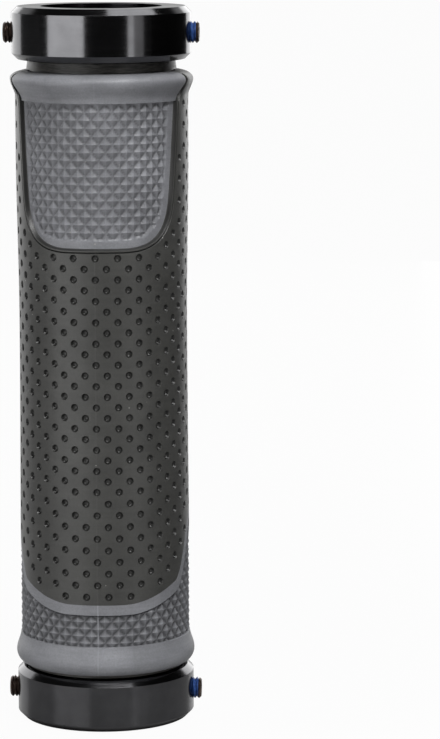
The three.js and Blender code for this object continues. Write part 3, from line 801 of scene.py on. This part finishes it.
def skirt_band():
    """Plain band of the skirt, level with the black rubber and with edges that follow it."""
    rows = KNURL_SUBSTEPS
    piece = new_grid("skirt_band", SKIRT_EDGE_STEPS, rows)

    def place(point):
        column, row = grid_place(point, SKIRT_EDGE_STEPS, rows)
        angle = column / SKIRT_EDGE_STEPS * 2 * pi
        height = mix(skirt_step(angle), skirt_edge(angle), row / rows)
        return polar(body_radius(height), angle, height)

    reshape(piece, place)
    close_up(piece)
    thicken(piece)
    return piece


def grey_skirt(sizes):
    """Whole skirt: the knurled part and the band that closes it."""
    piece = skirt_knurl(sizes)
    band = skirt_band()
    activate(piece)
    band.select_set(True)
    bpy.ops.object.join()
    return piece


def key_bar(index, width, inner, outer, low, high):
    """Bar across the bore's wall, used for a key and, wider, for its notch."""
    angle = (index + 0.5) * 2 * pi / KEY_COUNT
    middle = (inner + outer) / 2
    return add(
        bpy.ops.mesh.primitive_cube_add, "key_bar", size=1, rotation=(0, 0, angle),
        location=(middle * cos(angle), middle * sin(angle), (low + high) / 2),
        scale=(outer - inner, width, high - low),
    )


def sleeve():
    """Hard sleeve with its shoulder, neck and notched spigots."""
    low, high = SLEEVE_LOW[2], SLEEVE_HIGH[2]
    shoulder = RING_HEIGHT + PIECE_GAP
    neck_top = OVERALL_LENGTH - RING_HEIGHT - PIECE_GAP
    piece = turned("hard_sleeve", [
        (BORE_RADIUS, high), (BORE_RADIUS, low),
        (SPIGOT_RADIUS, low), (SPIGOT_RADIUS, shoulder),
        (SHOULDER_RADIUS, shoulder), (SHOULDER_RADIUS, shoulder + SHOULDER_LENGTH),
        (SLEEVE_RADIUS, shoulder + SHOULDER_LENGTH), (SLEEVE_RADIUS, neck_top - NECK_LENGTH),
        (NECK_RADIUS, neck_top - NECK_LENGTH), (NECK_RADIUS - NECK_TAPER, neck_top),
        (SPIGOT_RADIUS, neck_top), (SPIGOT_RADIUS, high),
    ], RING_STEPS)
    notch = SOCKET_DEPTH - KEY_HEIGHT - PIECE_GAP
    width = KEY_WIDTH + 2 * PIECE_GAP
    reach = (BORE_RADIUS - OVERSHOOT, SPIGOT_RADIUS + OVERSHOOT)
    for index in range(KEY_COUNT):
        for start, end in (
            (low - OVERSHOOT, RING_HEIGHT - notch),
            (OVERALL_LENGTH - RING_HEIGHT + notch, high + OVERSHOOT),
        ):
            combine(piece, key_bar(index, width, *reach, start, end))
    return piece


def clamp_ring(name):
    """Turned ring on z = 0 with its socket and keys on the upper face and the screws' holes."""
    socket = SPIGOT_RADIUS + PIECE_GAP
    floor = RING_HEIGHT - SOCKET_DEPTH
    piece = turned(name, [
        (BORE_RADIUS, floor), (BORE_RADIUS, 0),
        (RING_RADIUS - RING_CHAMFER, 0), (RING_RADIUS, RING_CHAMFER),
        (RING_RADIUS, RING_HEIGHT - RING_CHAMFER), (RING_RADIUS - RING_CHAMFER, RING_HEIGHT),
        (socket, RING_HEIGHT), (socket, floor),
    ], RING_STEPS)
    radii = (BORE_RADIUS + KEY_SETBACK, socket + PIECE_GAP)
    for index in range(KEY_COUNT):
        key = key_bar(index, KEY_WIDTH, *radii, floor - PIECE_GAP, floor + KEY_HEIGHT)
        combine(piece, key, "UNION")
    hole = add(
        bpy.ops.mesh.primitive_cylinder_add, "screw_holes", vertices=HOLE_STEPS,
        radius=SCREW_RADIUS + SCREW_CLEARANCE, depth=3 * RING_RADIUS,
        location=(0, 0, RING_HEIGHT / 2), rotation=(0, pi / 2, 0),
    )
    combine(piece, hole)
    apply_modifier(piece, "BEVEL", width=RING_EDGE, segments=2, limit_method="ANGLE")
    return piece


def set_screw(name, sizes):
    """Set screw standing on its cup point, with a cut thread and a hexagon socket."""
    length = SCREW_HIGH[0] - SCREW_LOW[0]
    thread_end = length - SCREW_END_CHAMFER
    rows = round((thread_end - SCREW_POINT_LENGTH) / (sizes.thread_pitch / THREAD_STEPS))
    thread = [(SCREW_RADIUS, height) for height in steps_between(SCREW_POINT_LENGTH, thread_end, rows)]
    piece = turned(name, [
        (SCREW_AXIS, SCREW_CUP_DEPTH), (SCREW_CUP_RADIUS, 0),
        (SCREW_POINT_RADIUS, 0), (SCREW_RADIUS, SCREW_POINT_LENGTH),
        *thread, (SCREW_RADIUS - SCREW_END_CHAMFER, length), (SCREW_AXIS, length),
    ], SCREW_STEPS)

    def cut_thread(point):
        radius = hypot(point.x, point.y)
        if radius < SCREW_RADIUS - SCREW_AXIS:
            return point
        turn = atan2(point.y, point.x) / (2 * pi)
        share = (point.z / sizes.thread_pitch - turn) % 1
        cut = clamp(THREAD_SLOPE * abs(share - 0.5) - THREAD_CREST)
        runout = ease((thread_end - point.z) / (THREAD_RUNOUT * sizes.thread_pitch) + THREAD_START)
        scale = 1 - cut * runout * sizes.thread_depth / radius
        return Vector((point.x * scale, point.y * scale, point.z))

    reshape(piece, cut_thread)
    hexagon = add(
        bpy.ops.mesh.primitive_cylinder_add, "hexagon", vertices=6, location=(0, 0, length),
        radius=SCREW_HEX_ACROSS_FLATS / sqrt(3), depth=2 * SCREW_HEX_DEPTH,
    )
    combine(piece, hexagon)
    return piece


def add_patch(piece, sizes):
    """Gives the patch's material to the thread of a standing screw, up to where it is seen."""
    shown = RING_RADIUS - SCREW_LOW[0] + sizes.patch_length
    for face in piece.data.polygons:
        threaded = hypot(face.center.x, face.center.y) > THREAD_CORE
        if threaded and SCREW_POINT_LENGTH < face.center.z < shown:
            face.material_index = 1


def lay_screw(piece, node, side):
    """Turns a standing screw onto X, pointing at the bar, and puts it where its node is."""
    low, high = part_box(node)
    start = low[0] if side > 0 else high[0]
    middle = (low[2] + high[2]) / 2
    reshape(piece, lambda point: Vector((start + side * point.z, side * point.y, middle - point.x)))


def store_relief(piece, base, depth):
    """Keeps each point's height over the grooves, for the dirt and painted shade in grooves and dimples
    and the wear and painted highlight on tips.
    """
    relief = piece.data.attributes.new("relief", "FLOAT", "POINT")
    for vertex, value in zip(piece.data.vertices, relief.data):
        radius = hypot(vertex.co.x, vertex.co.y)
        value.value = clamp(1 + (radius - base(vertex.co.z)) / depth)


def plug(tree, target, inputs):
    """Sets a node's inputs, or links them to a socket or to a node's first output."""
    for name, value in inputs.items():
        if isinstance(value, bpy.types.Node):
            value = next(output for output in value.outputs if output.enabled)
        if isinstance(value, bpy.types.NodeSocket):
            tree.links.new(value, target.inputs[name])
        else:
            target.inputs[name].default_value = value


def node(tree, kind, inputs=None, stops=(), **settings):
    """Adds a node with its inputs, a colour ramp's stops, grey or coloured, and its settings."""
    new = tree.nodes.new("ShaderNode" + kind)
    for name, value in settings.items():
        setattr(new, name, value)
    plug(tree, new, inputs or {})
    for _ in stops[2:]:
        new.color_ramp.elements.new(0.5)
    for index, (position, tone) in enumerate(stops):
        stop = new.color_ramp.elements[index]
        stop.position = position
        stop.color = tone if isinstance(tone, list) else (tone, tone, tone, 1)
    return new


def new_material(name):
    """Material with only its shader and output, and the piece's own coordinates."""
    material = bpy.data.materials.new(name)
    material.use_nodes = True
    tree = material.node_tree
    tree.nodes.clear()
    shader = node(tree, "BsdfPrincipled")
    node(tree, "OutputMaterial", {"Surface": shader}, is_active_output=True)
    return material, tree, shader, node(tree, "TexCoord").outputs["Object"]


def shaded(colour, factor):
    """The colour made darker or lighter."""
    return [clamp(channel * factor) for channel in colour[:3]] + [1.0]


def irregular(tree, place, size, detail, roughness=0.5, squash=(1, 1, 1)):
    """Cloudy pattern of a real size, squashed along the axes."""
    squashed = node(tree, "Mapping", {"Vector": place, "Scale": squash})
    return node(tree, "TexNoise", {
        "Vector": squashed, "Scale": 1 / size, "Detail": detail, "Roughness": roughness,
    })


def flash_mask(tree, place, width):
    """Line at the front and back where the mould's halves met, 1 on it and 0 beside it."""
    split = node(tree, "SeparateXYZ", {"Vector": place})
    across = node(tree, "Math", {0: split.outputs["X"]}, operation="ABSOLUTE")
    return node(tree, "MapRange", {
        "Value": across, "From Min": width * 0.4, "From Max": width, "To Min": 1, "To Max": 0,
    }, interpolation_type="SMOOTHSTEP")


def moulded_rubber(name, colour, sizes, grooves, roughness, flash):
    """Thermoplastic rubber from a spark-eroded mould: matt, finely grained and slightly dusty."""
    material, tree, shader, place = new_material(name)
    # Cloudy handling marks a centimetre or so across
    clouds = irregular(tree, place, 9 * MM, 4, 0.6)
    # Mould grain, drawn at 0.35 mm so that it still shows
    grain = irregular(tree, place, 0.35 * MM, 2, 0.7)
    # Faint streaks across the grip, 6 mm long and half a millimetre high
    streaks = irregular(tree, place, 6 * MM, 3, 0.6, (1, 1, 12))
    # Dust specks of a quarter of a millimetre, a few on each square centimetre
    cells = node(tree, "TexVoronoi", {"Vector": place, "Scale": 1 / (1.5 * MM)})
    chance = node(tree, "SeparateColor", {"Color": cells.outputs["Color"]}).outputs["Red"]
    near = node(tree, "Math", {0: cells.outputs["Distance"], 1: 0.09}, operation="LESS_THAN")
    rare = node(tree, "Math", {0: chance, 1: 0.9}, operation="GREATER_THAN")
    dust = node(tree, "Math", {0: near, 1: rare}, operation="MULTIPLY")
    # By the relief, dirt and painted shade darken grooves, dimples and walls; wear and painted highlight
    # lighten the tips, and painted highlight the dimples' bottoms
    relief = node(tree, "Attribute", attribute_name="relief").outputs["Fac"]
    line = flash_mask(tree, place, sizes.flash_width)
    # The flash line's raised ridge is also painted lighter: a painted highlight along it
    seam_highlight = node(tree, "Math", {0: line, 1: flash}, operation="MULTIPLY")
    tone = node(tree, "ValToRGB", {"Fac": clouds}, [
        (0.3, shaded(colour, 0.82)), (0.7, shaded(colour, 1.18)),
    ])
    for blend, factor, layer in (
        ("MULTIPLY", 1, node(tree, "ValToRGB", {"Fac": grain}, [(0.3, 0.9), (0.7, 1.1)])),
        ("MULTIPLY", 1, node(tree, "ValToRGB", {"Fac": streaks}, [(0.3, 0.92), (0.7, 1.08)])),
        ("MIX", dust, linear("8c8b88")),
        ("MULTIPLY", 1, node(tree, "ValToRGB", {"Fac": relief}, grooves)),
        ("MIX", seam_highlight, shaded(colour, 1.7)),
    ):
        colours = {"Factor": factor, "A": tone, "B": layer}
        tone = node(tree, "Mix", colours, data_type="RGBA", blend_type=blend)
    bump = node(tree, "Bump", {"Height": grain, "Distance": 0.03 * MM, "Strength": 0.6})
    ridge = node(tree, "Bump", {
        "Height": line, "Distance": 0.1 * MM, "Strength": flash, "Normal": bump,
    })
    plug(tree, shader, {
        "Base Color": tone, "Roughness": roughness, "IOR": 1.5, "Normal": ridge,
        "Sheen Weight": 0.06, "Sheen Roughness": 0.5,
    })
    return material


def moulded_nylon(colour):
    """Moulded nylon of the sleeve: satin, with pale scuffs that run round it."""
    material, tree, shader, place = new_material("moulded_nylon")
    # Scuffs 2 mm long round the sleeve and a seventh of that high
    scuffs = irregular(tree, place, 2 * MM, 4, 0.65, (1, 1, 7))
    tone = node(tree, "ValToRGB", {"Fac": scuffs}, [
        (0.42, shaded(colour, 0.55)), (0.68, shaded(colour, 2.8)),
    ])
    gloss = node(tree, "ValToRGB", {"Fac": scuffs}, [(0.3, 0.32), (0.8, 0.6)])
    plug(tree, shader, {"Base Color": tone, "Roughness": gloss, "IOR": 1.53})
    return material


def anodised_aluminium(colour):
    """Black anodised aluminium, turned and polished before dyeing: dark mirror, fine tool lines."""
    material, tree, shader, place = new_material("black_anodised_aluminium")
    # Tool lines 0.15 mm apart round the ring
    feed = irregular(tree, place, 0.15 * MM, 2, squash=(0.02, 0.02, 1))
    # Patches of handling 3 mm across
    wear = irregular(tree, place, 3 * MM, 3)
    tone = node(tree, "ValToRGB", {"Fac": wear}, [
        (0.35, shaded(colour, 0.92)), (0.7, shaded(colour, 1.08)),
    ])
    gloss = node(tree, "ValToRGB", {"Fac": feed}, [(0.3, 0.1), (0.7, 0.18)])
    plug(tree, shader, {"Base Color": tone, "Roughness": gloss, "Metallic": 1})
    return material


def black_oxide_steel(colour):
    """Alloy steel with a black oxide finish: dark brown-black, half matt, slightly blotchy."""
    material, tree, shader, place = new_material("black_oxide_steel")
    blotches = irregular(tree, place, 0.6 * MM, 3)
    tone = node(tree, "ValToRGB", {"Fac": blotches}, [
        (0.35, shaded(colour, 0.75)), (0.7, shaded(colour, 1.3)),
    ])
    gloss = node(tree, "ValToRGB", {"Fac": blotches}, [(0.3, 0.38), (0.7, 0.5)])
    plug(tree, shader, {"Base Color": tone, "Roughness": gloss, "Metallic": 1})
    return material


def nylon_patch(colour):
    """Thread lock: nylon fused onto the thread, blue and slightly mottled."""
    material, tree, shader, place = new_material("blue_nylon_patch")
    tone = node(tree, "ValToRGB", {"Fac": irregular(tree, place, 0.4 * MM, 2)}, [
        (0.35, shaded(colour, 0.7)), (0.7, shaded(colour, 1.25)),
    ])
    plug(tree, shader, {"Base Color": tone, "Roughness": 0.45, "IOR": 1.53})
    return material


def studio_floor(colour):
    """Satin paint: white to the camera but for a soft shadow, and a faint mirror to the grip."""
    material, tree, shader, _ = new_material("white_painted_floor")
    plug(tree, shader, {"Base Color": colour, "Roughness": 0.36, "IOR": 1.45})
    glow = node(tree, "Emission", {"Color": WHITE, "Strength": 1})
    seen = node(tree, "LightPath").outputs["Is Camera Ray"]
    share = node(tree, "Math", {0: seen, 1: FLOOR_WHITE}, operation="MULTIPLY")
    surface = node(tree, "MixShader", {0: share, 1: shader, 2: glow})
    output = next(n for n in tree.nodes if n.type == "OUTPUT_MATERIAL")
    plug(tree, output, {"Surface": surface})
    return material


def dress(piece, body, slot, materials, *nodes):
    """Gives a piece its materials, its body and the CAD nodes it stands for."""
    for material in materials:
        piece.data.materials.append(material)
    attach(piece, body)
    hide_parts(*nodes)


class GRIP_OT_sleeve(bpy.types.Operator):
    """Add the hard sleeve that the rubber is moulded on"""

    bl_idname = "grip.sleeve"
    bl_label = "Sleeve"

    def execute(self, context):
        piece = sleeve()
        shade(piece, degrees=35)
        nylon = moulded_nylon(context.scene.grip_colours.sleeve)
        dress(piece, "grip", "sleeve_plastic", [nylon], "core_sleeve")
        return {"FINISHED"}


class GRIP_OT_black_rubber(bpy.types.Operator):
    """Add the black rubber body with its dimples and windows"""

    bl_idname = "grip.black_rubber"
    bl_label = "Black rubber"

    def execute(self, context):
        sizes, colours = context.scene.grip_sizes, context.scene.grip_colours
        piece = black_rubber(sizes)
        shade(piece, degrees=50)
        store_relief(piece, body_radius, sizes.dimple_depth)
        rubber = moulded_rubber(
            "black_moulded_rubber", colours.black_rubber, sizes, BLACK_DIRT_AND_PAINTED_LIGHT, roughness=0.38, flash=0.15,
        )
        dress(piece, "grip", "black_rubber", [rubber], "black_rubber_body")
        return {"FINISHED"}


class GRIP_OT_grey_rubber(bpy.types.Operator):
    """Add the grey rubber: both window panels and the skirt"""

    bl_idname = "grip.grey_rubber"
    bl_label = "Grey rubber"

    def execute(self, context):
        sizes, colours = context.scene.grip_sizes, context.scene.grip_colours
        rubber, skirt_rubber = (
            moulded_rubber(name, colours.grey_rubber, sizes, GREY_WEAR_AND_PAINTED_LIGHT, roughness=0.48, flash=flash)
            for name, flash in (("grey_moulded_rubber", 0.12), ("grey_moulded_skirt_rubber", 0.6))
        )
        for name, centre in (("front_grey_panel", 0), ("back_grey_panel", pi)):
            piece = grey_panel(name + "_rubber", sizes, centre)
            shade(piece, degrees=25)
            store_relief(piece, panel_radius, sizes.window_knurl)
            dress(piece, "grip", "grey_rubber", [rubber], name)
        piece = grey_skirt(sizes)
        shade(piece, degrees=25)
        store_relief(piece, body_radius, sizes.skirt_knurl)
        dress(piece, "grip", "grey_rubber", [skirt_rubber], "grey_end_skirt")
        return {"FINISHED"}


class GRIP_OT_clamp_rings(bpy.types.Operator):
    """Add both clamp rings, the upper one turned over"""

    bl_idname = "grip.clamp_rings"
    bl_label = "Clamp rings"

    def execute(self, context):
        finish = anodised_aluminium(context.scene.grip_colours.ring)
        for name in ("lower_clamp_ring", "upper_clamp_ring"):
            piece = clamp_ring(name + "_turned")
            if name == "upper_clamp_ring":
                reshape(piece, lambda point: Vector((-point.x, point.y, OVERALL_LENGTH - point.z)))
            shade(piece, degrees=10)
            dress(piece, "grip", "ring_aluminium", [finish], name)
        return {"FINISHED"}


class GRIP_OT_set_screws(bpy.types.Operator):
    """Add the set screws, with thread lock on the right-hand ones"""

    bl_idname = "grip.set_screws"
    bl_label = "Set screws"

    def execute(self, context):
        sizes, colours = context.scene.grip_sizes, context.scene.grip_colours
        steel = black_oxide_steel(colours.screw)
        patch = nylon_patch(colours.thread_lock)
        for end in ("lower", "upper"):
            for side_name, side in (("left", -1), ("right", 1)):
                screw = f"{end}_{side_name}_set_screw"
                piece = set_screw(screw + "_threaded", sizes)
                shade(piece, degrees=40)
                dress(piece, f"{end}_{side_name}_screw", "screw_steel", [steel, patch], screw)
                if side > 0:
                    add_patch(piece, sizes)
                lay_screw(piece, screw, side)
        return {"FINISHED"}


class GRIP_OT_studio(bpy.types.Operator):
    """Add the floor, the lights and the camera"""

    bl_idname = "grip.studio"
    bl_label = "Studio"

    def execute(self, context):
        add_floor(context.scene.grip_colours.floor)
        add_world(context.scene)
        add_lights()
        add_flag()
        add_camera(context.scene)
        context.scene.view_settings.view_transform = "Standard"
        return {"FINISHED"}


def add_floor(colour):
    floor = add(bpy.ops.mesh.primitive_plane_add, "studio_floor", size=1)
    reshape(floor, lambda point: Vector((
        2 * FLOOR_SIDE * point.x, FLOOR_FRONT if point.y < 0 else FLOOR_BACK, 0,
    )))
    floor.data.materials.append(studio_floor(colour))


def add_world(scene):
    """White behind the grip, and a dark room in front of it that only glossy surfaces show."""
    world = bpy.data.worlds.new("studio")
    world.use_nodes = True
    tree = world.node_tree
    tree.nodes.clear()
    direction = node(tree, "TexCoord").outputs["Generated"]
    backdrop = polar(1, radians(BACKDROP_DEGREES), 0)
    facing = node(tree, "VectorMath", {0: direction, 1: backdrop}, operation="DOT_PRODUCT")
    behind = node(tree, "MapRange", {
        "Value": facing, "From Min": BACKDROP_EDGE[0], "From Max": BACKDROP_EDGE[1],
        "To Min": ROOM_MIRRORED, "To Max": BACKDROP_MIRRORED,
    }, interpolation_type="SMOOTHSTEP")
    path = node(tree, "LightPath")
    glossy, camera = path.outputs["Is Glossy Ray"], path.outputs["Is Camera Ray"]
    clear = path.outputs["Is Transmission Ray"]
    mirrored = node(tree, "Mix", {"Factor": glossy, "A": ROOM_FILL, "B": behind})
    seen = node(tree, "Math", {0: camera, 1: clear}, operation="MAXIMUM")
    strength = node(tree, "Mix", {"Factor": seen, "A": mirrored, "B": 1})
    background = node(tree, "Background", {"Color": WHITE, "Strength": strength})
    node(tree, "OutputWorld", {"Surface": background})
    scene.world = world


def add_lights():
    """Softboxes at the sides that stripe the rings, rims behind, one overhead and high keys."""
    for name, (azimuth, distance, height, size, radiance) in LIGHTS.items():
        light = bpy.data.lights.new(name, "AREA")
        light.shape = "RECTANGLE"
        light.size, light.size_y = size
        light.energy = radiance * pi * size[0] * size[1]
        lamp = bpy.data.objects.new(name, light)
        bpy.context.collection.objects.link(lamp)
        lamp.visible_camera = False
        lamp.location = polar(distance, radians(azimuth), height)
        target = Vector((0, 0, height)) if height < LIGHTS_UPRIGHT_BELOW else LIGHTS_AIM
        lamp.rotation_euler = (target - lamp.location).to_track_quat("-Z", "Y").to_euler()


def add_flag():
    """Black card to the right that shades that side and isn't seen itself."""
    flag = add(bpy.ops.mesh.primitive_plane_add, "black_flag", size=1)
    reshape(flag, lambda point: Vector((
        FLAG_SIDE, FLAG_DEPTH * point.y + FLAG_MIDDLE, FLAG_HEIGHT * (point.x + 0.5),
    )))
    material, tree, shader, _ = new_material("black_flocked_card")
    plug(tree, shader, {"Base Color": linear("161616"), "Roughness": 1})
    flag.data.materials.append(material)
    flag.visible_camera = False


def add_camera(scene):
    """Long lens a little above the grip's top, with the grip left of the middle."""
    camera = bpy.data.cameras.new("camera")
    camera.lens = CAMERA_LENS
    camera.clip_start = 0.01
    body = bpy.data.objects.new("camera", camera)
    scene.collection.objects.link(body)
    body.location = CAMERA_PLACE
    body.rotation_euler = [radians(degrees) for degrees in CAMERA_DEGREES]
    scene.camera = body


class GRIP_PT_panel(bpy.types.Panel):
    """Lists the grip's sizes, colours and pieces"""

    bl_idname = "GRIP_PT_panel"
    bl_label = "Handlebar grip"
    bl_space_type = "VIEW_3D"
    bl_region_type = "UI"
    bl_category = "Grip"

    def draw(self, context):
        for group in (context.scene.grip_sizes, context.scene.grip_colours):
            box = self.layout.box()
            for name in group.__annotations__:
                box.prop(group, name)
        for operator in OPERATORS:
            self.layout.operator(operator.bl_idname)


OPERATORS = (
    GRIP_OT_studio,
    GRIP_OT_sleeve,
    GRIP_OT_black_rubber,
    GRIP_OT_grey_rubber,
    GRIP_OT_clamp_rings,
    GRIP_OT_set_screws,
)
CLASSES = (GripSizes, GripColours, *OPERATORS, GRIP_PT_panel)


def register():
    for item in CLASSES:
        bpy.utils.register_class(item)
    bpy.types.Scene.grip_sizes = bpy.props.PointerProperty(type=GripSizes)
    bpy.types.Scene.grip_colours = bpy.props.PointerProperty(type=GripColours)


def unregister():
    del bpy.types.Scene.grip_colours
    del bpy.types.Scene.grip_sizes
    for item in reversed(CLASSES):
        bpy.utils.unregister_class(item)


def main():
    register()
    bpy.ops.grip.studio()
    bpy.ops.grip.sleeve()
    bpy.ops.grip.black_rubber()
    bpy.ops.grip.grey_rubber()
    bpy.ops.grip.clamp_rings()
    bpy.ops.grip.set_screws()


if __name__ == "__main__":
    main()
